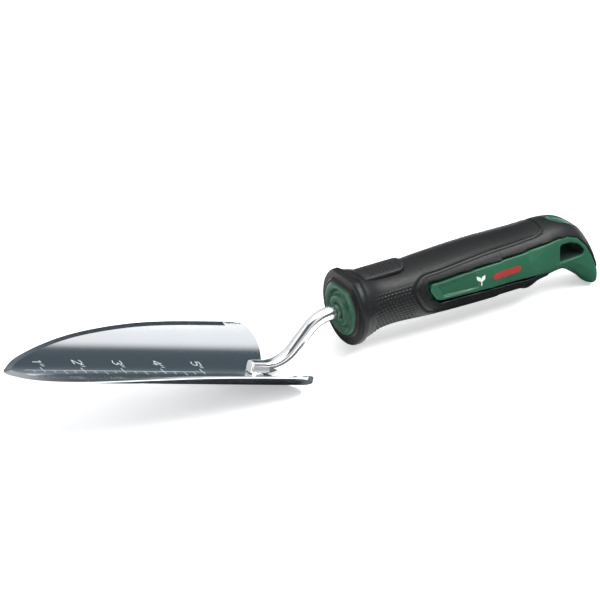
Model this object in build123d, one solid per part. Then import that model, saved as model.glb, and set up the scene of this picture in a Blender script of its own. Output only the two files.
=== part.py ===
"""Hand trowel: a dished steel blade welded to a bent bar that runs into a two-material grip.

The trowel lies as it would on a table: heel of the blade and tip of the hook on z = 0,
grip level and pointing along +X, blade rising toward its tip on the -X side.
Grip stations are distances behind the front face of the collar, heights are above the grip axis.
"""

import os
from math import cos, radians, sin, tan

from build123d import *

# Blade, in its own frame: tip at x = 0, inner surface of the trough at z = 0 on the centre line.
BLADE_WIDTH = 80.4
TROUGH_R = 57.0
SHEET = 2.3
BLADE_PITCH = 17.0
TIP_X = 1.8
HALF_OUTLINE = [
    (5.3, 5.9), (10.9, 11.8), (18.5, 17.2), (28.0, 22.2), (37.5, 26.2), (55.0, 31.7),
    (76.0, 35.8), (102.0, 38.8), (130.0, 40.0),
]
SHOULDER = [(170.5, 38.2), (176.6, 33.6), (178.0, 27.0), (175.0, 17.0)]
REAR_X = 169.5

# Grip.
GRIP_FRONT = 209.5
BLADE_DROP = 40.1
COLLAR_R = 22.3
COLLAR_LEN = 4.4
COLLAR_TOP = 19.4
FACE_STEP = 6.2
FACE_OUT = 2.4
LIP = 1.3
SKIN = 3.4

# Bar.
BAR_D = 8.2
TANG_Z = -1.4
TANG_END = 92.0
FOOT_X = 156.6
FOOT_HIGH = 7.4
BEND_LOW = 20.0
BEND_HIGH = 20.0
RISE = 44.0

# (station, radius) of the barrel, which is turned about the grip axis.
BARREL = [
    (5.0, 20.4), (8.5, 19.9), (13.0, 18.3), (19.0, 17.0), (27.0, 16.6), (37.0, 17.0),
    (48.0, 17.8), (62.0, 18.4), (78.0, 18.8), (96.0, 18.9), (114.0, 18.5),
]
# Top and bottom points and half width of the sections that turn down into the hook.
BUTT = [
    ((114.0, 18.5), (114.0, -18.5), 18.5),
    ((123.2, 18.6), (122.0, -17.6), 17.9),
    ((132.4, 19.0), (129.6, -16.2), 17.2),
    ((141.2, 18.0), (136.4, -15.2), 16.5),
    ((149.2, 15.0), (142.2, -15.0), 15.8),
    ((155.8, 9.6), (147.4, -16.8), 15.0),
    ((161.2, 1.8), (151.8, -19.8), 14.3),
    ((165.2, -7.0), (156.0, -23.0), 13.4),
    ((167.4, -16.2), (159.8, -26.6), 12.2),
    ((168.0, -23.2), (163.4, -29.3), 9.0),
]
FLAT_HALF = [(40, 19.5), (100, 18.6), (118, 17.2), (130, 15.2), (140, 13.8), (158, 12.6), (175, 12.0)]

# Side window of the grip where the core comes through, as (station, height).
WINDOW = [
    (47.6, 4.8), (49.0, 6.8), (54.0, 6.9), (70.0, 7.9), (89.0, 8.5), (108.0, 8.9), (126.0, 9.8),
    (136.0, 10.4), (143.5, 10.0), (150.2, 7.2), (156.4, 0.4), (160.8, -7.6), (164.2, -15.6),
    (176.0, -18.0), (176.0, -36.0), (134.0, -36.0), (131.6, -17.0), (130.2, -9.6), (118.0, -6.9),
    (108.0, -6.1), (88.0, -5.4), (68.0, -4.7), (55.0, -4.1), (51.5, -2.9), (47.6, 2.8),
]
EYE = [(136.8, -4.4), (136.9, 6.3), (144.0, 6.2), (150.4, 3.4), (154.6, -1.8), (153.6, -4.2)]
PAD_FRONT = 5.5
PAD_END = 37.6
PAD_TOP = 19.6
PAD_CROWN = 13.0
PAD_HALF = 7.6
PAD_LOW = 15.6
RIBS = 10


def ring(top, low, half, inset=0.0):
    """Elliptical section standing between two points of the side view."""
    up = Vector(top[0] - low[0], 0, top[1] - low[1])
    plane = Plane(
        origin=((top[0] + low[0]) / 2, 0, (top[1] + low[1]) / 2),
        x_dir=(0, 1, 0),
        z_dir=Vector(0, 1, 0).cross(up),
    )
    return plane * Ellipse(half - inset, up.length / 2 - inset)


def body(inset=0.0, butt_rings=len(BUTT)):
    """The grip's envelope, or the same shape with a skin taken off."""
    line = Spline([(x, 0, r - inset) for x, r in BARREL], tangents=[(1, 0, 0), (1, 0, 0)])
    ends = Polyline((114, 0, BARREL[-1][1] - inset), (114, 0, 0), (5, 0, 0), (5, 0, BARREL[0][1] - inset))
    barrel = revolve(make_face([line, ends]), axis=Axis.X)
    return barrel + loft([ring(*row, inset) for row in BUTT[:butt_rings]])


def prism(points, half, low=None):
    """Side-view polygon drawn out along Y."""
    face = make_face(Polyline([(x, 0, z) for x, z in points], close=True))
    start = -half if low is None else low
    return extrude(face.moved(Location((0, start, 0))), amount=half - start, dir=(0, 1, 0))


def d_plate(radius, top, start, end):
    """Round plate with a flat along its top."""
    disc = extrude(Plane.YZ.offset(start) * Circle(radius), amount=end - start)
    cut = Pos((start + end) / 2, 0, top + 20) * Box(end - start + 2, 80, 40)
    return disc - cut


# --- blade -------------------------------------------------------------------
half = BLADE_WIDTH / 2
side = Spline([(TIP_X, 0)] + HALF_OUTLINE + [(160, half)], tangents=[(0, 1), (1, 0)])
shoulder = Spline([(160, half)] + SHOULDER + [(REAR_X, 0)], tangents=[(1, 0), (0, -1)])
upper = [side, shoulder]
outline = make_face(Wire(upper + [e.mirror(Plane.XZ) for e in upper]))
trough = Plane.YZ * Pos(0, TROUGH_R) * (Circle(TROUGH_R + SHEET) - Circle(TROUGH_R))
sheet = extrude(trough, amount=200).moved(Location((-5, 0, 0)))
blade = sheet & extrude(outline.moved(Location((0, 0, -5))), amount=40)

# --- bar ---------------------------------------------------------------------
tilt = radians(BLADE_PITCH)


def to_grip(x, z):
    dx, dz = x - GRIP_FRONT, z - BLADE_DROP
    return dx * cos(tilt) + dz * sin(tilt), -dx * sin(tilt) + dz * cos(tilt)


def arc_step(start, radius, angle_from, angle_to):
    a, b = radians(angle_from), radians(angle_to)
    turn = 1 if angle_to > angle_from else -1
    return (
        start[0] + turn * radius * (sin(b) - sin(a)),
        start[1] - turn * radius * (cos(b) - cos(a)),
    )


foot = to_grip(FOOT_X, BAR_D / 2 - 0.4)
heel = to_grip(FOOT_X + 8.5, BAR_D / 2 - 0.4)
low_end = arc_step(heel, BEND_LOW, -BLADE_PITCH, RISE)
low_mid = arc_step(heel, BEND_LOW, -BLADE_PITCH, (RISE - BLADE_PITCH) / 2)
climb = TANG_Z - BEND_HIGH * (1 - cos(radians(RISE))) - low_end[1]
high_start = (low_end[0] + climb / tan(radians(RISE)), low_end[1] + climb)
high_mid = arc_step(high_start, BEND_HIGH, RISE, RISE / 2)
high_end = arc_step(high_start, BEND_HIGH, RISE, 0)


def at(p):
    return (p[0], 0, p[1])


path = Wire([
    Line(at(foot), at(heel)),
    ThreePointArc(at(heel), at(low_mid), at(low_end)),
    Line(at(low_end), at(high_start)),
    ThreePointArc(at(high_start), at(high_mid), at(high_end)),
    Line(at(high_end), (TANG_END, 0, TANG_Z)),
])
start_plane = Plane(origin=at(foot), z_dir=(cos(tilt), 0, -sin(tilt)))
bar = sweep(start_plane * Circle(BAR_D / 2), path=path)
# Squared foot with its front top edge rounded, and crimped flats that hold the tang in the core.
foot_block = Pos(FOOT_X + 5.0, 0, FOOT_HIGH / 2 + 0.15) * Box(10.0, BAR_D - 0.8, FOOT_HIGH + 0.1)
foot_block = fillet(foot_block.edges().filter_by(Axis.X).sort_by(Axis.Z)[-2:], 1.4)
foot_block = fillet(foot_block.edges().filter_by(Axis.Y).sort_by(Axis.X)[:2].sort_by(Axis.Z)[-1], 2.2)

swing = Pos(-GRIP_FRONT, 0, -BLADE_DROP)
blade = Rot(0, BLADE_PITCH, 0) * (swing * blade)
foot_block = Rot(0, BLADE_PITCH, 0) * (swing * foot_block)
notches = [Pos(x, side_y * BAR_D / 2, TANG_Z) * Box(5, 1.6, BAR_D + 2) for x in (52, 64, 76) for side_y in (-1, 1)]
shank = bar + foot_block - blade - notches

# Fillet welds along both sides of the foot.
welds = [Pos(FOOT_X + 6.0, y * (BAR_D / 2 - 0.3), 0.1) * Rot(0, 90, 0) * Cylinder(1.7, 9.0) for y in (-1, 1)]
welds = Rot(0, BLADE_PITCH, 0) * (swing * Compound(welds))
foot_weld = Part() + welds - blade - shank

# --- thumb rest --------------------------------------------------------------
pad_plan = RectangleRounded(PAD_END - PAD_FRONT, 2 * PAD_HALF, 5.0)
pad = Pos((PAD_FRONT + PAD_END) / 2, 0, PAD_LOW) * extrude(pad_plan, amount=PAD_TOP)
crown_at = Pos((PAD_FRONT + PAD_END) / 2, 0, PAD_TOP - PAD_CROWN) * Rot(0, 90, 0)
pad = pad & crown_at * Cylinder(PAD_CROWN, PAD_END)
first_rib = PAD_END - 22.5
groove = Cylinder(PAD_CROWN + 2, 0.9) - Cylinder(PAD_CROWN - 0.65, 0.9)
groove = Pos(0, 0, PAD_TOP - PAD_CROWN) * Rot(0, 90, 0) * groove
groove = groove & Pos(0, 0, PAD_TOP) * Box(2, 2 * PAD_HALF - 3.0, 8)
grooves = [Pos(first_rib + 2.15 * k, 0, 0) * groove for k in range(RIBS)]
stem = Pos(19.5, 0, 14.9) * Box(20, 7, 3.0)
thumb_rest = pad - grooves + stem

# --- grip core ---------------------------------------------------------------
full = body()
step = body(0.6)
inner = body(SKIN, 4)
front_plate = d_plate(COLLAR_R - FACE_STEP, COLLAR_TOP - FACE_STEP, -FACE_OUT, 6.0)
front_plate = chamfer(front_plate.edges().sort_by(Axis.X)[:2], 1.0)
valley = Pos(-FACE_OUT, 0, TANG_Z) * Rot(0, 90, 0) * Torus(10.6, 1.5)
collar_boss = Pos(-FACE_OUT, 0, TANG_Z) * Rot(0, 90, 0) * Cylinder(9.0, 2.0)
collar_boss = fillet(collar_boss.edges().sort_by(Axis.X)[0], 0.9)
dish = Pos(-FACE_OUT - 1.4, 0, TANG_Z) * Rot(0, 90, 0) * Cone(6.6, 4.3, 2.8)

window = prism(WINDOW, 30)
eye = fillet(prism(EYE, 30).edges().filter_by(Axis.Y), 1.2)

# Oval boss that shows through the skin on the shoulder of the butt, slightly dished.
oval_at = Pos(147.2, 0, 15.0) * Rot(0, 28, 0)
oval = oval_at * extrude(Plane.XY.offset(-5) * Ellipse(11.6, 6.2), amount=11)
dished = oval_at * Pos(0, 0, 27.4) * Sphere(26.6)

plan = FLAT_HALF + [(x, -y) for x, y in reversed(FLAT_HALF)]
flats = extrude(Pos(0, 0, -40) * make_face(Polyline(plan, close=True)), amount=80)
core = inner + (step & window & flats) + (step & oval) - dished
core = core + (front_plate - valley) + collar_boss - dish - eye - shank - thumb_rest
# Flat faces sunk in the front end of each side panel, fading out behind.
for y in (-1, 1):
    field = [(52.6, 4.8), (80.0, 6.4), (80.0, -2.6), (56.0, -2.4)]
    wedge = make_face(Polyline([(x, 0, z) for x, z in field], close=True))
    tool = extrude(wedge, amount=8, dir=(0, 1, 0))
    tool = Pos(0, 14.9, 0) * Pos(50, 0, 0) * Rot(0, 0, 4.5) * Pos(-50, 0, 0) * tool
    core = core - (tool if y > 0 else tool.mirror(Plane.XZ))

# --- soft skin ---------------------------------------------------------------
collar = d_plate(COLLAR_R, COLLAR_TOP, 0, COLLAR_LEN)
collar = fillet(collar.edges().filter_by(GeomType.CIRCLE), 1.1)
throat_ring = d_plate(COLLAR_R - 1.3, COLLAR_TOP - 0.6, COLLAR_LEN - 0.5, 5.6)
pocket_face = [
    (45.4, 6.2), (47.6, 8.4), (54.0, 8.1), (70.0, 8.9), (89.0, 9.4), (108.0, 9.8), (126.0, 10.7), (138.0, 11.3),
    (138.0, 8.0), (118.0, -7.8), (88.0, -6.3), (68.0, -5.7), (54.0, -5.9), (47.8, -1.6),
]
pocket = prism(pocket_face, 30, 11.5) + prism(pocket_face, -11.5, -30)
lip = d_plate(COLLAR_R - FACE_STEP + LIP, COLLAR_TOP - FACE_STEP + LIP, 0.6 - FACE_OUT, 1.0)
lip = chamfer(lip.edges().sort_by(Axis.X)[:2], 0.6)
soft_grip = full + collar + throat_ring + lip
for tool in (inner, front_plate, window, pocket, oval, thumb_rest, collar_boss, shank):
    soft_grip = soft_grip - tool

parts = {
    "blade": blade,
    "shank": shank,
    "foot_weld": foot_weld,
    "handle_core": core,
    "soft_grip": soft_grip,
    "thumb_rest": thumb_rest,
}
for name, shape in parts.items():
    print(name, shape.bounding_box(), len(shape.solids()), [round(q.volume) for q in shape.solids()])

low = min(shape.bounding_box().min.Z for shape in parts.values())
left = min(shape.bounding_box().min.X for shape in parts.values())
right = max(shape.bounding_box().max.X for shape in parts.values())
home = Pos(-(left + right) / 2, 0, -low)
os.makedirs("parts", exist_ok=True)
for name, shape in parts.items():
    export_step(home * Part(shape.solids()), f"parts/{name}.step")
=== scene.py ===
import math

import bpy
import numpy as np
from mathutils import Matrix, Vector
from mathutils.bvhtree import BVHTree


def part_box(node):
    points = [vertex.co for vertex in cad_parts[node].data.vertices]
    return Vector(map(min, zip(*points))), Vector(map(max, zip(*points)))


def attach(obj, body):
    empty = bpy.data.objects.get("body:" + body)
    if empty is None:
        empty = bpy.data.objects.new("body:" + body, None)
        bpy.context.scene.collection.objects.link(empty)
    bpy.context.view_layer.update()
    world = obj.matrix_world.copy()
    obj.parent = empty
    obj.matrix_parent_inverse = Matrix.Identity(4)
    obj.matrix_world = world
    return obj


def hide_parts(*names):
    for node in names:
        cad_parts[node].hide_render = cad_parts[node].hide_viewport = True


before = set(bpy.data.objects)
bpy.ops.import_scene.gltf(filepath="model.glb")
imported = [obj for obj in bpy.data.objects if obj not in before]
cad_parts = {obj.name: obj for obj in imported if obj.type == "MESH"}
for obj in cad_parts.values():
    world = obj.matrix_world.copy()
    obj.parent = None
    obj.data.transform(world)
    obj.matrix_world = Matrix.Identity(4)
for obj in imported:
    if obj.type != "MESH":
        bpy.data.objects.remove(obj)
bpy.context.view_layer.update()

MM = 0.001

# Where the grip's own stations start in the row frame: front of the collar, and the grip's axis.
LIP_AHEAD = 1.8
PAD_TOP = 19.6
grip_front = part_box("soft_grip")[0].x + LIP_AHEAD * MM
grip_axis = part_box("thumb_rest")[1].z - PAD_TOP * MM

# Blade, in millimetres in its own frame (tip at x = 0, trough floor at z = 0), and how it is set.
PITCH = math.radians(17.0)
GRIP_AT = (209.5, 40.1)
TROUGH_R = 57.0
SHEET = 2.3
HALF = 40.2
# The ground bevel inside the blade's edge: its width, the sheet left at the rim, where it stops,
# how far the rear corners are ground, and the height that the corners are cut level to.
BEVEL = 3.8
EDGE = 0.65
BEVEL_END = 159.0
CORNER_GROUND = 0.8
RIM_TOP = 14.15
# Rows of the blade's mesh along its sides and behind them, and points across its trough.
SIDE_ROWS = 150
REAR_ROWS = 22
ACROSS = 61
SIDE = [
    (1.8, 0), (5.3, 5.9), (10.9, 11.8), (18.5, 17.2), (28.0, 22.2), (37.5, 26.2), (55.0, 31.7),
    (76.0, 35.8), (102.0, 38.8), (130.0, 40.0), (160.0, 40.2),
]
REAR = [
    (160.0, 40.2), (170.5, 38.2), (176.6, 33.6), (178.0, 27.0), (175.0, 17.0), (169.5, 0),
]


def grip_point(s, u, v):
    """Station, side and height on the grip, in millimetres, as a point of the row frame."""
    return (grip_front + s * MM, u * MM, grip_axis + v * MM)


def from_blade(points):
    """Points of the blade's own frame, in millimetres, in the row frame."""
    p = np.asarray(points, float)
    dx, dz = p[:, 0] - GRIP_AT[0], p[:, 2] - GRIP_AT[1]
    c, s = math.cos(PITCH), math.sin(PITCH)
    out = np.empty_like(p)
    out[:, 0] = grip_front + (dx * c + dz * s) * MM
    out[:, 1] = p[:, 1] * MM
    out[:, 2] = grip_axis + (dz * c - dx * s) * MM
    return out


def cubic(points, start, end, count):
    """Smooth curve through plan points with given end directions, evenly spaced along its length."""
    p = np.asarray(points, float)
    chord = np.r_[0, np.cumsum(np.linalg.norm(np.diff(p, axis=0), axis=1))]
    n = len(p)
    a = np.zeros((n, n))
    b = np.zeros((n, 2))
    a[0, 0] = a[-1, -1] = 1
    b[0], b[-1] = start, end
    h = np.diff(chord)
    for i in range(1, n - 1):
        a[i, i - 1], a[i, i], a[i, i + 1] = h[i], 2 * (h[i - 1] + h[i]), h[i - 1]
        b[i] = 3 * (h[i] * (p[i] - p[i - 1]) / h[i - 1] + h[i - 1] * (p[i + 1] - p[i]) / h[i])
    d = np.linalg.solve(a, b)
    fine = []
    for i in range(n - 1):
        t = np.linspace(0, 1, 60)[:, None]
        fine.append(
            (2 * t**3 - 3 * t**2 + 1) * p[i] + (t**3 - 2 * t**2 + t) * h[i] * d[i]
            + (-2 * t**3 + 3 * t**2) * p[i + 1] + (t**3 - t**2) * h[i] * d[i + 1]
        )
    fine = np.vstack(fine)
    length = np.r_[0, np.cumsum(np.linalg.norm(np.diff(fine, axis=0), axis=1))]
    at = np.linspace(0, length[-1], count)
    return np.c_[np.interp(at, length, fine[:, 0]), np.interp(at, length, fine[:, 1])]


def smooth(edge0, edge1, x):
    t = np.clip((x - edge0) / (edge1 - edge0), 0, 1)
    return t * t * (3 - 2 * t)


def path_distance(s, t, path):
    """Distance of many flat points from a broken line."""
    best = np.full(len(s), 1e9)
    for (a, b), (c, d) in zip(path[:-1], path[1:]):
        dx, dy = c - a, d - b
        k = np.clip(((s - a) * dx + (t - b) * dy) / (dx * dx + dy * dy), 0, 1)
        best = np.minimum(best, np.hypot(s - a - k * dx, t - b - k * dy))
    return best


def add_mesh(name, verts, faces, material, smooth_angle=30.0):
    mesh = bpy.data.meshes.new(name)
    mesh.from_pydata([tuple(v) for v in verts], [], faces)
    mesh.validate()
    mesh.update()
    obj = bpy.data.objects.new(name, mesh)
    bpy.context.scene.collection.objects.link(obj)
    mesh.materials.append(material)
    mesh.shade_smooth()
    mesh.set_sharp_from_angle(angle=math.radians(smooth_angle))
    return obj


def piece(obj, slot, *nodes):
    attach(obj, "root")
    if nodes:
        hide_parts(*nodes)
    return obj


# ---------------------------------------------------------------- materials
class Graph:
    """A material's node tree, with short calls for the nodes used here."""

    def __init__(self, name):
        self.material = bpy.data.materials.new(name)
        self.material.use_nodes = True
        self.tree = self.material.node_tree
        self.shader = self.tree.nodes["Principled BSDF"]
        self.coords = self.tree.nodes.new("ShaderNodeTexCoord").outputs["Object"]

    def node(self, kind, **props):
        made = self.tree.nodes.new(kind)
        for key, value in props.items():
            setattr(made, key, value)
        return made

    def link(self, a, b):
        self.tree.links.new(a, b)

    def set(self, **values):
        for key, value in values.items():
            self.shader.inputs[key.replace("_", " ")].default_value = value

    def scaled(self, scale, turn=(0, 0, 0)):
        mapping = self.node("ShaderNodeMapping")
        mapping.inputs["Scale"].default_value = scale
        mapping.inputs["Rotation"].default_value = turn
        self.link(self.coords, mapping.inputs["Vector"])
        return mapping.outputs["Vector"]

    def noise(self, scale, detail=3.0, rough=0.5, coords=None):
        made = self.node("ShaderNodeTexNoise")
        made.inputs["Scale"].default_value = scale
        made.inputs["Detail"].default_value = detail
        made.inputs["Roughness"].default_value = rough
        self.link(coords or self.coords, made.inputs["Vector"])
        return made.outputs["Fac"]

    def ramp(self, fac, stops):
        made = self.node("ShaderNodeValToRGB")
        elements = made.color_ramp.elements
        while len(elements) < len(stops):
            elements.new(0.5)
        for element, (at, colour) in zip(elements, stops):
            element.position = at
            element.color = (*colour, 1)
        self.link(fac, made.inputs["Fac"])
        return made.outputs["Color"]

    def bump(self, height, strength, distance, normal=None):
        made = self.node("ShaderNodeBump")
        made.inputs["Strength"].default_value = strength
        made.inputs["Distance"].default_value = distance
        self.link(height, made.inputs["Height"])
        if normal is not None:
            self.link(normal, made.inputs["Normal"])
        return made.outputs["Normal"]


def grey(value):
    return (value, value, value)


def steel(name, base, rough_low, rough_high, grain):
    g = Graph(name)
    g.set(Metallic=1.0)
    streaks = g.noise(1.0, 4.0, 0.6, g.scaled(grain))
    cloud = g.noise(28.0, 3.0, 0.5)
    darker = tuple(c * 0.97 for c in base)
    tint = g.ramp(cloud, [(0.3, darker), (0.7, base)])
    rough = g.ramp(streaks, [(0.3, grey(rough_low)), (0.75, grey(rough_high))])
    g.link(tint, g.shader.inputs["Base Color"])
    g.link(rough, g.shader.inputs["Roughness"])
    g.link(g.bump(streaks, 0.06, 0.00004), g.shader.inputs["Normal"])
    return g.material


blade_steel = steel("blade_steel", (0.72, 0.745, 0.765), 0.10, 0.17, (60, 1500, 1500))
# Steel of the ground bevel: rougher than the polished blade, as ground; its much darker colour is painted
# shade, darkening what the bevel mirrors.
ground_steel_painted_shade = steel("ground_steel_painted_shade", (0.36, 0.385, 0.40), 0.20, 0.28, (300, 300, 300))
bar_steel = steel("bar_steel", (0.80, 0.81, 0.82), 0.09, 0.16, (300, 1200, 1200))


def plastic(name, low, high, rough, grain_scale, bump_depth, shine=0.5):
    g = Graph(name)
    g.set(Specular_IOR_Level=shine, IOR=1.48)
    cloud = g.noise(60.0, 3.0, 0.5)
    grain = g.noise(grain_scale, 2.0, 0.6)
    tint = g.ramp(cloud, [(0.3, low), (0.7, high)])
    dull = g.ramp(grain, [(0.3, grey(rough - 0.05)), (0.7, grey(rough + 0.06))])
    g.link(tint, g.shader.inputs["Base Color"])
    g.link(dull, g.shader.inputs["Roughness"])
    g.link(g.bump(grain, 0.25, bump_depth), g.shader.inputs["Normal"])
    return g.material


green = plastic(
    "green_plastic", (0.0076, 0.069, 0.034), (0.0102, 0.084, 0.042),
    0.36, 2600.0, 0.00006, 0.42,
)
rubber = plastic(
    "black_soft_grip", (0.0030, 0.0036, 0.0039), (0.0048, 0.0055, 0.0059),
    0.41, 1250.0, 0.00030, 0.27,
)
pad_rubber = plastic(
    "thumb_pad", (0.007, 0.0076, 0.0082), (0.0095, 0.010, 0.011),
    0.44, 1500.0, 0.0002, 0.30,
)
etched = plastic("etched_mark", (0.34, 0.38, 0.41), (0.44, 0.48, 0.51), 0.55, 3000.0, 0.00005)
white_print = plastic("white_print", (0.50, 0.58, 0.53), (0.60, 0.68, 0.62), 0.5, 3000.0, 0.00002)
# A much darker, rougher green: painted shade for the core's faces inside the hanging eye.
painted_shade_green = plastic(
    "green_in_shade", (0.002, 0.014, 0.008), (0.003, 0.018, 0.010),
    0.75, 2600.0, 0.00006,
)
red_print = plastic("red_print", (0.25, 0.010, 0.009), (0.31, 0.014, 0.012), 0.5, 3000.0, 0.00002, 0.25)
floor_paint = plastic("floor_paint", grey(0.86), grey(0.88), 0.6, 40.0, 0.0)
lit_floor = floor_paint.node_tree.nodes["Principled BSDF"].inputs
lit_floor["Emission Color"].default_value = (1, 1, 1, 1)
lit_floor["Emission Strength"].default_value = 0.42
# Dark paint for the boards that only reflections see: painted shade under the trowel.
painted_shade_board = plastic("painted_shade_board", (0.075, 0.083, 0.090), (0.080, 0.088, 0.095), 0.8, 40.0, 0.0)


# ---------------------------------------------------------------- blade
def trough(y, radius):
    return TROUGH_R - np.sqrt(radius**2 - y**2)


def blade_mesh():
    side = cubic(SIDE, (0, 1), (1, 0), SIDE_ROWS)
    tangent = np.gradient(side, axis=0)
    tangent /= np.linalg.norm(tangent, axis=1)[:, None]
    inward = np.c_[tangent[:, 1], -tangent[:, 0]]
    inset = side + BEVEL * inward
    inset[:, 1] = np.maximum(inset[:, 1], 0.02)
    across = np.linspace(-1, 1, ACROSS)
    rows = []
    for (x, y), (ix, iy) in zip(side, inset):
        row = [(x, -y, 1.0)] + [(ix, iy * t, 0.0) for t in across] + [(x, y, 1.0)]
        rows.append(row)
    for row in rows:
        if row[0][0] > BEVEL_END:
            for k in (0, -1):
                row[k] = (row[k][0], row[k][1], CORNER_GROUND)
    rear = cubic(REAR, (1, 0), (0, -1), 200)[::-1]
    along = np.linspace(0, 1, 200)
    last = rows[-1]
    span = [abs(p[1]) / HALF for p in last]
    for r in np.linspace(0, 1, REAR_ROWS)[1:]:
        row = []
        for (x, y, _), t in zip(last, span):
            cx, cy = np.interp(t, along, rear[:, 0]), np.interp(t, along, rear[:, 1])
            out = (1 - r) * y + r * math.copysign(cy, y)
            rim = 0.0
            if abs(y) > HALF - 0.1:
                rim = CORNER_GROUND * float(smooth(24.0, 38.0, abs(out)))
            row.append(((1 - r) * x + r * cx, out, rim))
        rows.append(row)
    grid = np.array(rows)
    n, m = grid.shape[:2]
    y = grid[:, :, 1]
    under = trough(y, TROUGH_R + SHEET)
    over = trough(y, TROUGH_R)
    ground = grid[:, :, 2]
    over = np.minimum(over * (1 - ground) + (under + EDGE) * ground, RIM_TOP)
    top = np.dstack([grid[:, :, 0], y, over]).reshape(-1, 3)
    bottom = np.dstack([grid[:, :, 0], y, under]).reshape(-1, 3)
    verts = from_blade(np.vstack([top, bottom]))
    count = n * m
    faces = []
    for i in range(n - 1):
        for j in range(m - 1):
            a, b = i * m + j, i * m + j + 1
            c, d = b + m, a + m
            faces.append((a, d, c, b))
            faces.append((a + count, b + count, c + count, d + count))
        for j in (0, m - 1):
            a, d = i * m + j, (i + 1) * m + j
            faces.append((a, a + count, d + count, d) if j == 0 else (a, d, d + count, a + count))
    for j in range(m - 1):
        a, b = (n - 1) * m + j, (n - 1) * m + j + 1
        faces.append((a, a + count, b + count, b))
    return verts, faces


verts, faces = blade_mesh()
blade = add_mesh("blade_sheet", verts, faces, blade_steel, 12.0)
# The bevel faces along the sides take the darker steel: painted shade on the ground bevel.
blade.data.materials.append(ground_steel_painted_shade)
columns = ACROSS + 2
row_faces = 2 * (columns - 1) + 2
bevel_end_x = from_blade([(BEVEL_END, 0, 14.0)])[0][0]
for i in range(SIDE_ROWS - 1):
    if verts[i * columns][0] < bevel_end_x:
        blade.data.polygons[i * row_faces].material_index = 1
        blade.data.polygons[i * row_faces + 2 * (columns - 2)].material_index = 1
piece(blade, "polished_steel", "blade")

# ---------------------------------------------------------------- shank
TANG_Z = -1.4
FOOT_X = 156.6
FOOT_Z = 3.65
FOOT_LENGTH = 8.5
BEND_R = 20.0
BEND_UP = 61.0
BEND_LEVEL = 44.0
TANG_LENGTH = 22.0


def bar_path():
    """Centre line of the bar in the grip's plane, as station, height and direction."""
    c, s = math.cos(PITCH), math.sin(PITCH)

    def to_grip(x, z):
        dx, dz = x - GRIP_AT[0], z - GRIP_AT[1]
        return np.array([dx * c + dz * s, dz * c - dx * s])

    runs = [
        ("line", FOOT_LENGTH), ("arc", BEND_R, BEND_UP), ("line", None), ("arc", BEND_R, -BEND_LEVEL),
        ("line", TANG_LENGTH),
    ]
    angle, at = -PITCH, to_grip(FOOT_X, FOOT_Z)
    rise = TANG_Z - BEND_R * (1 - math.cos(math.radians(BEND_LEVEL)))
    points = [(at[0], at[1], angle)]
    for run in runs:
        if run[0] == "line":
            length = run[1]
            if length is None:
                length = (rise - at[1]) / math.sin(angle)
            steps = 20
            for _ in range(steps):
                at = at + length / steps * np.array([math.cos(angle), math.sin(angle)])
                points.append((at[0], at[1], angle))
        else:
            turn = math.radians(run[2])
            steps = 48
            for _ in range(steps):
                middle = angle + turn / steps / 2
                chord = 2 * run[1] * math.sin(abs(turn) / steps / 2)
                at = at + chord * np.array([math.cos(middle), math.sin(middle)])
                angle += turn / steps
                points.append((at[0], at[1], angle))
    return np.array(points)


path = bar_path()
gone = np.r_[0, np.cumsum(np.hypot(np.diff(path[:, 0]), np.diff(path[:, 1])))]
RING = 96


def section(distance):
    """Half width, half height and squareness of the bar at a distance from the foot's end."""
    stops = [0, 8, 16, 30, 44, 60, 90]
    return (
        np.interp(distance, stops, [3.4, 3.5, 3.8, 3.95, 4.0, 4.1, 4.1]),
        np.interp(distance, stops, [3.5, 3.55, 3.6, 3.6, 3.8, 4.2, 4.3]),
        np.interp(distance, stops, [3.2, 3.0, 2.6, 2.3, 2.1, 2.0, 2.0]),
    )


def tube():
    verts, faces = [], []
    stations = [(0.0, 0.70), (0.08, 0.82), (0.28, 0.92), (0.6, 0.975), (1.0, 0.995)]
    stations += [(d, 1.0) for d in gone[2:]]
    for d, shrink in stations:
        s, v = np.interp(d, gone, path[:, 0]), np.interp(d, gone, path[:, 1])
        angle = np.interp(d, gone, path[:, 2])
        a, b, power = section(d)
        for k in range(RING):
            q = 2 * math.pi * k / RING
            cu, cv = math.cos(q), math.sin(q)
            u = a * shrink * math.copysign(abs(cu) ** (2 / power), cu)
            w = b * shrink * math.copysign(abs(cv) ** (2 / power), cv)
            verts.append(grip_point(s - w * math.sin(angle), u, v + w * math.cos(angle)))
    rows = len(stations)
    for i in range(rows - 1):
        for k in range(RING):
            a, b = i * RING + k, i * RING + (k + 1) % RING
            faces.append((a, a + RING, b + RING, b))
    faces.append(tuple(range(RING)))
    faces.append(tuple(reversed(range((rows - 1) * RING, rows * RING))))
    return verts, faces


verts, faces = tube()
bar = add_mesh("shank_bar", verts, faces, bar_steel, 40.0)
piece(bar, "shank_steel", "shank")


BEAD_FROM = 157.2
BEAD_LENGTH = 7.6
BEAD_OUT = 3.15
BEAD_UP = 0.35
BEAD_R = 0.85
RIPPLE = 0.10
RIPPLE_PITCH = 0.95
BEAD_ROWS = 45
BEAD_RING = 16


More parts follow.
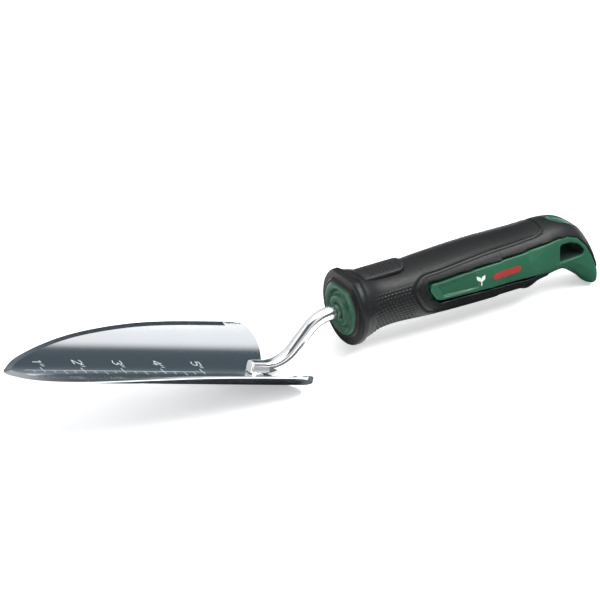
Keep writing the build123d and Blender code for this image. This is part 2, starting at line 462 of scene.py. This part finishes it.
def weld_beads():
    """A low rippled bead along each side of the foot, where it meets the blade."""
    verts, faces = [], []
    for side in (-1, 1):
        first = len(verts)
        for i in range(BEAD_ROWS):
            x = BEAD_FROM + BEAD_LENGTH * i / (BEAD_ROWS - 1)
            fade = math.sin(math.pi * (i + 0.5) / BEAD_ROWS) ** 0.35
            ripple = abs(math.sin(math.pi * (x - BEAD_FROM) / RIPPLE_PITCH))
            radius = (BEAD_R + RIPPLE * ripple) * fade
            for q in range(BEAD_RING):
                turn = 2 * math.pi * q / BEAD_RING
                y = side * (BEAD_OUT + radius * math.cos(turn))
                verts.append((x, y, BEAD_UP + radius * math.sin(turn)))
        for i in range(BEAD_ROWS - 1):
            for q in range(BEAD_RING):
                a = first + i * BEAD_RING + q
                b = first + i * BEAD_RING + (q + 1) % BEAD_RING
                faces.append((a, a + BEAD_RING, b + BEAD_RING, b))
        last = first + (BEAD_ROWS - 1) * BEAD_RING
        faces.append(tuple(range(first, first + BEAD_RING)))
        faces.append(tuple(range(last + BEAD_RING - 1, last - 1, -1)))
    return from_blade(verts), faces


verts, faces = weld_beads()
piece(add_mesh("weld_beads", verts, faces, bar_steel, 40.0), "shank_steel", "foot_weld")


# ---------------------------------------------------------------- handle
def softened(node, name, voxel, rounds, material):
    """A CAD node's shape as one even, slightly softened skin in the row frame."""
    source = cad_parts[node]
    shape = source.data.copy()
    shape.transform(source.matrix_world)
    rough = bpy.data.objects.new(name + "_rough", shape)
    bpy.context.scene.collection.objects.link(rough)
    even = rough.modifiers.new("even", "REMESH")
    even.mode = "VOXEL"
    even.voxel_size = voxel
    soft = rough.modifiers.new("soft", "SMOOTH")
    soft.factor = 0.5
    soft.iterations = rounds
    depsgraph = bpy.context.evaluated_depsgraph_get()
    mesh = bpy.data.meshes.new_from_object(rough.evaluated_get(depsgraph))
    bpy.data.objects.remove(rough)
    mesh.name = name
    mesh.materials.clear()
    mesh.materials.append(material)
    mesh.shade_smooth()
    obj = bpy.data.objects.new(name, mesh)
    bpy.context.scene.collection.objects.link(obj)
    return obj


def vertices(mesh):
    """Station, side and height of every vertex in millimetres, and its normal."""
    at = np.empty(len(mesh.vertices) * 3, np.float32)
    way = np.empty_like(at)
    mesh.vertices.foreach_get("co", at)
    mesh.vertices.foreach_get("normal", way)
    at = at.reshape(-1, 3).astype(float)
    grip = (at - (grip_front, 0, grip_axis)) / MM
    return grip, way.reshape(-1, 3).astype(float)


def reshape(mesh, grip):
    at = grip * MM + (grip_front, 0, grip_axis)
    mesh.vertices.foreach_set("co", at.astype(np.float32).ravel())
    mesh.update()


# Lines moulded round the palm field, as (station, degrees down from the top).
BORDER = [
    (128.6, 0), (128.6, 14), (128.2, 24), (126.2, 31), (121.0, 35.2), (104.5, 38.0),
    (85.4, 40.2), (71.0, 43.5), (55.6, 46.8), (48.0, 47.2), (44.2, 49.0), (41.2, 55.3),
    (38.9, 63.2), (38.1, 74.3), (39.6, 90.0), (43.0, 108.0), (46.4, 120.0), (50.0, 126.0),
    (58.0, 129.0), (90.0, 130.0), (124.0, 128.0),
]
AROUND = math.radians(18.0)


def dots(s, t, pitch, radius):
    """Rounded dots on a staggered grid, as a height from 0 to 1."""
    row = np.round(t / (pitch * 0.866))
    across = s / pitch - 0.5 * (row % 2)
    ds = (across - np.round(across)) * pitch
    dt = t - row * pitch * 0.866
    return 1 - smooth(0.25 * radius, radius, np.hypot(ds, dt))


def even_out(s, u, v, angle, reach, outward):
    """Fairs the upper skin lengthwise, so that no ring stands out between the barrel and the butt."""
    stations, bands = np.arange(56.0, 139.0), np.arange(0.0, 80.0, 5.0)
    i = np.clip(np.round(s - stations[0]).astype(int), 0, len(stations) - 1)
    j = np.clip(np.round(angle / 5.0).astype(int), 0, len(bands) - 1)
    used = outward & (s > 55.5) & (s < 138.5) & (angle < 77)
    total, number = np.zeros((2, len(stations), len(bands)))
    np.add.at(total, (i[used], j[used]), reach[used])
    np.add.at(number, (i[used], j[used]), 1)
    mean = np.where(number > 0, total / np.maximum(number, 1), np.nan)
    for band in mean.T:
        known = ~np.isnan(band)
        band[:] = np.interp(stations, stations[known], band[known]) if known.any() else 0.0
    apart = stations[:, None] - stations[None, :]
    weight = np.exp(-0.5 * (apart / 6.0) ** 2)
    change = (weight / weight.sum(axis=1, keepdims=True)) @ mean - mean
    fs = np.clip(s - stations[0], 0, len(stations) - 1.001)
    fa = np.clip(angle / 5.0, 0, len(bands) - 1.001)
    i, j = fs.astype(int), fa.astype(int)
    p, q = fs - i, fa - j
    move = (1 - p) * ((1 - q) * change[i, j] + q * change[i, j + 1])
    move += p * ((1 - q) * change[i + 1, j] + q * change[i + 1, j + 1])
    move *= used * smooth(64, 74, s) * smooth(134, 127, s) * smooth(76, 66, angle)
    u += move * u / np.maximum(reach, 1e-6)
    v += move * v / np.maximum(reach, 1e-6)


grip_skin = softened("soft_grip", "grip_skin", 0.00048, 3, rubber)
grip, normal = vertices(grip_skin.data)
s, u, v = grip.T.copy()
angle = np.degrees(np.arctan2(np.abs(u), v))
reach = np.hypot(u, v)
outward = (u * normal[:, 1] + v * normal[:, 2]) / np.maximum(reach, 1e-6) > 0.6
outward &= (reach > 15.4) & (s > 7.5)
even_out(s, u, v, angle, reach, outward)
grip = np.c_[s, u, v]
t = angle * AROUND
line = [(a, b * AROUND) for a, b in BORDER]
apart = path_distance(s, t, line)
along = np.array(BORDER)
front_of = s < np.interp(angle, along[9:18, 1], along[9:18, 0]) - 2.2
above = angle < np.interp(s, [44, 56, 71, 85, 104, 121, 127], [48, 47, 43.5, 40, 38, 35, 28]) - 5.0
push = -0.42 * (1 - smooth(0.55, 1.15, apart)) * (s < 131)
push = push - 0.12 * smooth(0.8, 2.4, apart) * (above & (s > 44) & (s < 127))
dimple = dots(s, t, 2.35, 0.95) * smooth(52, 66, angle) * smooth(150, 132, angle)
dimple = dimple * smooth(8.5, 12, s) * smooth(41, 36, s)
push = push + 0.42 * dimple * (front_of & (apart > 1.6))
push = push + 0.07 * dots(s, t, 1.55, 0.7) * (above & (s > 46) & (s < 125) & (apart > 2.0))
reshape(grip_skin.data, grip + normal * (push * outward)[:, None])
piece(grip_skin, "black_rubber", "soft_grip")


def surface(tree, s, degrees, lift):
    """Point of the skin, lifted outward, at a station and an angle down from the top, and its normal."""
    side = -math.sin(math.radians(degrees))
    way = Vector((0, side, math.cos(math.radians(degrees))))
    start = Vector(grip_point(s, 0, 0)) + way * 0.05
    hit = tree.ray_cast(start, -way)
    return hit[0] + hit[1] * lift * MM, hit[1]


def bead(name, path, radius, material, slot):
    """A thin raised line along stations and angles on the skin, on both sides of the grip."""
    line = np.asarray(path, float)
    chord = np.r_[0, np.cumsum(np.hypot(np.diff(line[:, 0]), np.diff(line[:, 1]) * AROUND))]
    at = np.arange(0, chord[-1], 0.8)
    fine = np.c_[np.interp(at, chord, line[:, 0]), np.interp(at, chord, line[:, 1])]
    fine[1:-1] = (fine[:-2] + 2 * fine[1:-1] + fine[2:]) / 4
    verts, faces = [], []
    for flip in (1, -1):
        first = len(verts)
        points = [surface(skin_tree, s, a * flip, 0.02) for s, a in fine]
        for k, (p, n) in enumerate(points):
            ahead = points[min(k + 1, len(points) - 1)][0] - points[max(k - 1, 0)][0]
            across = ahead.cross(n).normalized()
            for q in range(8):
                turn = 2 * math.pi * q / 8
                verts.append(p + (across * math.cos(turn) + n * math.sin(turn)) * radius * MM)
        for k in range(len(points) - 1):
            for q in range(8):
                a, b = first + k * 8 + q, first + k * 8 + (q + 1) % 8
                faces.append((a, b, b + 8, a + 8))
        faces.append(tuple(range(first + 7, first - 1, -1)))
        last = first + (len(points) - 1) * 8
        faces.append(tuple(range(last, last + 8)))
    piece(add_mesh(name, verts, faces, material, 60.0), slot)


skin_tree = BVHTree.FromPolygons(
    [v.co[:] for v in grip_skin.data.vertices], [p.vertices[:] for p in grip_skin.data.polygons]
)
OUTER = [
    (128.9, 2), (128.9, 12), (128.4, 20), (126.6, 27), (122.0, 31.6), (104.5, 34.4),
    (85.4, 36.8), (71.0, 40.0), (55.6, 43.2), (48.0, 43.4), (42.6, 45.4), (39.2, 53.0),
    (36.8, 63.0), (36.0, 74.3), (37.4, 90.0), (40.8, 109.0), (44.4, 123.0), (49.0, 130.0),
]
INNER = [
    (127.2, 35.0), (122.0, 38.6), (104.5, 41.6), (85.4, 43.8), (71.0, 47.0), (56.0, 50.4),
    (48.6, 50.8), (45.6, 53.0), (43.2, 58.0), (41.0, 65.0), (40.2, 75.0), (41.6, 90.0),
    (45.0, 106.0), (48.6, 118.0), (53.0, 124.0),
]
bead("border_bead_outer", OUTER, 0.26, rubber, "black_rubber")
bead("border_bead_inner", INNER, 0.22, rubber, "black_rubber")

core_skin = softened("handle_core", "core_skin", 0.00050, 3, green)
grip, normal = vertices(core_skin.data)
s, u, v = grip.T

# The oval boss on the shoulder of the butt: its centre, tilt and half axes, and how deep it is sunk.
OVAL_AT = (147.2, 15.0)
OVAL_TILT = math.radians(28.0)
OVAL_HALF = (11.6, 6.2)
OVAL_SUNK = 0.9
c, d = math.cos(OVAL_TILT), math.sin(OVAL_TILT)
a = (s - OVAL_AT[0]) * c - (v - OVAL_AT[1]) * d
w = (s - OVAL_AT[0]) * d + (v - OVAL_AT[1]) * c
ring = np.hypot(a / OVAL_HALF[0], u / OVAL_HALF[1])
sunk = -OVAL_SUNK * (1 - smooth(0.70, 0.86, ring)) * ((w > -4) & (w < 5))
reshape(core_skin.data, grip + normal * sunk[:, None])
# The core's faces inside the hanging eye take the darker green, as painted shade on the eye's inner
# walls.
core_skin.data.materials.append(painted_shade_green)
EYE = [
    (136.3, -4.9), (136.4, 6.8), (144.2, 6.7), (150.8, 3.7), (155.2, -1.8), (154.0, -4.8),
]
count = len(core_skin.data.polygons)
centre = np.empty(count * 3, np.float32)
core_skin.data.polygons.foreach_get("center", centre)
middle = (centre.reshape(-1, 3).astype(float) - (grip_front, 0, grip_axis)) / MM
inside = np.ones(count, bool)
for (ax, az), (bx, bz) in zip(EYE, EYE[1:] + EYE[:1]):
    inside &= (bx - ax) * (middle[:, 2] - az) - (bz - az) * (middle[:, 0] - ax) < 0
inside &= np.abs(middle[:, 1]) < 12.4
core_skin.data.polygons.foreach_set("material_index", inside.astype(np.int32))
piece(core_skin, "green_plastic", "handle_core")

pad_skin = softened("thumb_rest", "pad_skin", 0.00030, 2, pad_rubber)
piece(pad_skin, "thumb_rubber", "thumb_rest")


# ---------------------------------------------------------------- printed marks
def stroke(points, widths, steps=10, across=4):
    """A flat strip along a smoothed line, as plan points and faces."""
    line = np.asarray(points, float)
    if len(line) > 2:
        chord = np.r_[0, np.cumsum(np.linalg.norm(np.diff(line, axis=0), axis=1))]
        at = np.linspace(0, chord[-1], steps * (len(line) - 1) + 1)
        line = np.c_[np.interp(at, chord, line[:, 0]), np.interp(at, chord, line[:, 1])]
    else:
        k = np.linspace(0, 1, steps)[:, None]
        line = line[0] * (1 - k) + line[1] * k
    way = np.gradient(line, axis=0)
    way /= np.linalg.norm(way, axis=1)[:, None]
    side = np.c_[-way[:, 1], way[:, 0]]
    half = np.interp(np.linspace(0, 1, len(line)), np.linspace(0, 1, len(widths)), widths)
    flat = [line[i] + side[i] * half[i] * w for i in range(len(line)) for w in np.linspace(-1, 1, across)]
    faces = []
    for i in range(len(line) - 1):
        for k in range(across - 1):
            a = i * across + k
            faces.append((a, a + 1, a + across + 1, a + across))
    return np.array(flat), faces


def join(strips):
    points, faces = [], []
    start = 0
    for flat, some in strips:
        points.append(flat)
        faces += [tuple(k + start for k in face) for face in some]
        start += len(flat)
    return np.vstack(points), faces


core_tree = BVHTree.FromPolygons(
    [v.co[:] for v in core_skin.data.vertices], [p.vertices[:] for p in core_skin.data.polygons]
)


def on_panel(flat, side, lift=0.05):
    """Side-view points pressed onto the green panel on one side of the grip."""
    out = []
    for s, v in flat:
        start = Vector(grip_point(s, side * 40.0, v))
        hit = core_tree.ray_cast(start, Vector((0, -side, 0)))
        y = hit[0].y if hit[0] is not None else side * 16.0 * MM
        out.append((start.x, y + side * lift * MM, start.z))
    return out


def panel_bead(name, path, radius, side):
    """A thin raised line along side-view points on the green panel."""
    line = np.asarray(path, float)
    chord = np.r_[0, np.cumsum(np.linalg.norm(np.diff(line, axis=0), axis=1))]
    at = np.arange(0, chord[-1], 0.6)
    fine = np.c_[np.interp(at, chord, line[:, 0]), np.interp(at, chord, line[:, 1])]
    points = [Vector(p) for p in on_panel(fine, side, -0.1)]
    verts, faces = [], []
    for k, p in enumerate(points):
        ahead = points[min(k + 1, len(points) - 1)] - points[max(k - 1, 0)]
        across = ahead.cross(Vector((0, 1, 0))).normalized()
        fade = min(1.0, (k + 1) / 4, (len(points) - k) / 4)
        for q in range(10):
            turn = 2 * math.pi * q / 10
            offset = across * math.cos(turn) + Vector((0, 1, 0)) * math.sin(turn)
            verts.append(p + offset * radius * fade * MM)
    for k in range(len(points) - 1):
        for q in range(10):
            a, b = k * 10 + q, k * 10 + (q + 1) % 10
            faces.append((a, b, b + 10, a + 10))
    faces.append(tuple(range(9, -1, -1)))
    faces.append(tuple(range(len(verts) - 10, len(verts))))
    piece(add_mesh(name, verts, faces, green, 60.0), "green_plastic")


EYE_LIP = [(136.2, -5.3), (145.0, -5.2), (153.6, -5.0)]
PANEL_EDGE = [(50.2, 4.2), (51.0, 6.0), (54.0, 6.3), (64.0, 6.9), (78.0, 7.5)]
SIDES = ((-1, "near"), (1, "far"))
for side, tag in SIDES:
    panel_bead("eye_lip_" + tag, EYE_LIP, 0.75, side)
    panel_bead("panel_bead_" + tag, PANEL_EDGE, 0.55, side)


def printed(name, strips, material, side):
    flat, faces = join(strips)
    if side > 0:
        faces = [face[::-1] for face in faces]
    mark = add_mesh(name, on_panel(flat, side), faces, material)
    piece(mark, "green_plastic")


def tilted(strip, centre, degrees):
    flat, faces = strip
    c, s = math.cos(math.radians(degrees)), math.sin(math.radians(degrees))
    flat = np.c_[flat[:, 0] * c - flat[:, 1] * s, flat[:, 0] * s + flat[:, 1] * c] + centre
    return flat, faces


for side, tag in SIDES:
    leaf = [0.12, 0.75, 1.1, 1.0, 0.55, 0.08]
    sprout = [
        stroke([(0.0, -3.2), (0.0, -0.4)], [0.32, 0.28]),
        tilted(stroke([(0, 0), (4.1, 0)], leaf, 16, 6), (0.1, -0.6), 52),
        tilted(stroke([(0, 0), (4.1, 0)], leaf, 16, 6), (-0.1, -0.6), 128),
    ]
    sprout = [tilted(strip, (80.6, 1.6), 0) for strip in sprout]
    printed("sprout_print_" + tag, sprout, white_print, side)
    bar_width = [0.3, 1.55, 1.75, 1.8] + [1.8] * 26 + [1.8, 1.75, 1.55, 0.3]
    bar_print = tilted(stroke([(0, 0), (18.5, 0)], bar_width, 60, 6), (88.8, 1.6), 0.5)
    printed("red_print_" + tag, [bar_print], red_print, side)

DIGITS = {
    1: [[(-0.8, 1.9), (0.3, 3.0), (0.3, -3.0)]],
    2: [[(-1.7, 1.7), (-0.9, 2.8), (0.7, 2.9), (1.6, 1.9), (1.3, 0.5), (-1.7, -2.9), (1.9, -2.9)]],
    3: [[(-1.6, 2.4), (-0.3, 3.0), (1.2, 2.6), (1.4, 1.3), (0.1, 0.2)],
        [(0.1, 0.2), (1.6, -0.7), (1.5, -2.2), (0.1, -3.0), (-1.7, -2.4)]],
    4: [[(0.8, -3.0), (0.8, 3.0), (-1.9, -1.2), (1.9, -1.2)]],
    5: [[(1.6, 2.9), (-1.2, 2.9), (-1.4, 0.4), (0.2, 0.8), (1.6, -0.2), (1.5, -2.1), (0.1, -3.0),
         (-1.6, -2.4)]],
}


def on_blade(flat):
    flat = np.asarray(flat)
    return from_blade(np.c_[flat, trough(flat[:, 1], TROUGH_R) + 0.06])


def depth_scale():
    strips = [stroke([(14.0, 0), (128.5, 0)], [0.26, 0.26], 120, 3)]
    for k in range(1, 6):
        x = 25.4 * k
        strips.append(stroke([(x, -3.0), (x, 3.6)], [0.3, 0.3], 8, 3))
        for line in DIGITS[k]:
            turned = [(x + 0.9 + 0.92 * b, 9.8 - 1.15 * a) for a, b in line]
            strips.append(stroke(turned, [0.33, 0.33], 6, 3))
        for gap in (5.4, 7.2):
            strips.append(stroke([(x + 1.6, gap), (x + 3.8, gap)], [0.28, 0.28], 5, 3))
    for k in range(3, 21):
        x = 25.4 * k / 4
        if k % 4:
            strips.append(stroke([(x, 0), (x, -5.0 if k % 2 == 0 else -3.4)], [0.24, 0.24], 8, 3))
    return join(strips)


flat, faces = depth_scale()
scale = add_mesh("depth_scale", on_blade(flat), faces, etched)
piece(scale, "polished_steel")

# ---------------------------------------------------------------- stage
bpy.ops.mesh.primitive_plane_add(size=30.0, location=(0, 0, 0))
floor = bpy.context.object
floor.name = "floor"
floor.data.materials.append(floor_paint)

# Dark boards on the floor under and around the trowel, hidden from the camera, from diffuse light and
# from shadows, that only polished surfaces see: painted shade that the steel mirrors, giving it dark
# edges.
BOARDS = [
    ("board_under_grip", (0.080, 0.50), (-0.60, 0.05)),
    ("board_under_point", (-0.32, -0.10), (-0.040, 0.045)),
    ("board_under_heel", (-0.10, -0.022), (-0.040, 0.014)),
    ("board_under_corner", (-0.022, 0.010), (-0.045, -0.012)),
    ("board_behind_neck", (-0.022, 0.012), (0.011, 0.075)),
    ("board_below_neck", (0.012, 0.075), (-0.004, 0.075)),
]
for name, (x0, x1), (y0, y1) in BOARDS:
    bpy.ops.mesh.primitive_plane_add(size=1.0, location=((x0 + x1) / 2, (y0 + y1) / 2, 0.0005))
    board = bpy.context.object
    board.name = name
    board.scale = (x1 - x0, y1 - y0, 1.0)
    board.data.materials.append(painted_shade_board)
    board.visible_camera = False
    board.visible_diffuse = False
    board.visible_shadow = False

# The studio's light and dark fields, which the steel mirrors.
world = bpy.data.worlds.new("studio")
bpy.context.scene.world = world
world.use_nodes = True
wt = world.node_tree
background = wt.nodes["Background"]
direction = wt.nodes.new("ShaderNodeTexCoord").outputs["Generated"]


def lobe(toward, inner, outer):
    """1 within inner degrees of a direction, falling to 0 at outer degrees."""
    dot = wt.nodes.new("ShaderNodeVectorMath")
    dot.operation = "DOT_PRODUCT"
    dot.inputs[1].default_value = Vector(toward).normalized()
    wt.links.new(direction, dot.inputs[0])
    spread = wt.nodes.new("ShaderNodeMapRange")
    spread.interpolation_type = "SMOOTHSTEP"
    spread.inputs["From Min"].default_value = math.cos(math.radians(outer))
    spread.inputs["From Max"].default_value = math.cos(math.radians(inner))
    wt.links.new(dot.outputs["Value"], spread.inputs["Value"])
    return spread.outputs["Result"]


def mix(fac, a, b):
    made = wt.nodes.new("ShaderNodeMix")
    made.data_type = "RGBA"
    wt.links.new(fac, made.inputs["Factor"])
    for value, socket in ((a, made.inputs[6]), (b, made.inputs[7])):
        if isinstance(value, tuple):
            socket.default_value = (*value, 1)
        else:
            wt.links.new(value, socket)
    return made.outputs[2]


zenith = lobe((0, 0, 1), 20, 90)
sky = mix(zenith, (0.62, 0.63, 0.65), (1.15, 1.15, 1.15))
sky = mix(lobe((0.45, -0.85, 0.02), 17, 34), sky, (0.10, 0.10, 0.11))
sky = mix(lobe((-0.62, -0.44, 0.66), 14, 34), sky, (0.12, 0.14, 0.16))
sky = mix(lobe((0.64, 0.76, 0.08), 16, 40), sky, (0.24, 0.28, 0.31))
sky = mix(lobe((0.73, 0.54, 0.42), 12, 26), sky, (0.085, 0.11, 0.13))
sky = mix(lobe((0.82, -0.07, 0.57), 10, 25), sky, (1.10, 1.11, 1.13))
wt.links.new(sky, background.inputs["Color"])
background.inputs["Strength"].default_value = 1.0


def softbox(name, place, target, size, power):
    light = bpy.data.lights.new(name, "AREA")
    light.shape = "RECTANGLE"
    light.size, light.size_y = size
    light.energy = power
    obj = bpy.data.objects.new(name, light)
    bpy.context.scene.collection.objects.link(obj)
    obj.location = place
    obj.rotation_euler = (Vector(target) - Vector(place)).to_track_quat("-Z", "Y").to_euler()
    return obj


softbox("overhead", (-0.1, -0.15, 1.6), (0, 0, 0), (1.6, 1.2), 9.0)
softbox("grip_strip", (0.55, -0.55, 0.95), (0.08, 0, 0.03), (0.9, 0.22), 14.0)
softbox("front_fill", (-1.5, 0.4, 0.9), (0.05, 0, 0), (1.0, 0.8), 5.0)

# ---------------------------------------------------------------- camera
CAMERA_BACK = 2.2
right = Vector((0.8554, -0.5174, -0.0234)).normalized()
back = Vector((-0.4524, -0.7685, 0.4525)).normalized()
up = back.cross(right).normalized()
right = up.cross(back)
camera = bpy.data.cameras.new("camera")
camera.lens = 238.9
camera.sensor_width = 36.0
camera.clip_end = 100.0
view = bpy.data.objects.new("camera", camera)
bpy.context.scene.collection.objects.link(view)
aim = Vector(grip_point(-27.6, 0, 12.25))
place = aim + back * CAMERA_BACK
turn = Matrix((right, up, back)).transposed().to_4x4()
view.matrix_world = Matrix.Translation(place) @ turn
bpy.context.scene.camera = view
bpy.context.scene.view_settings.view_transform = "Standard"
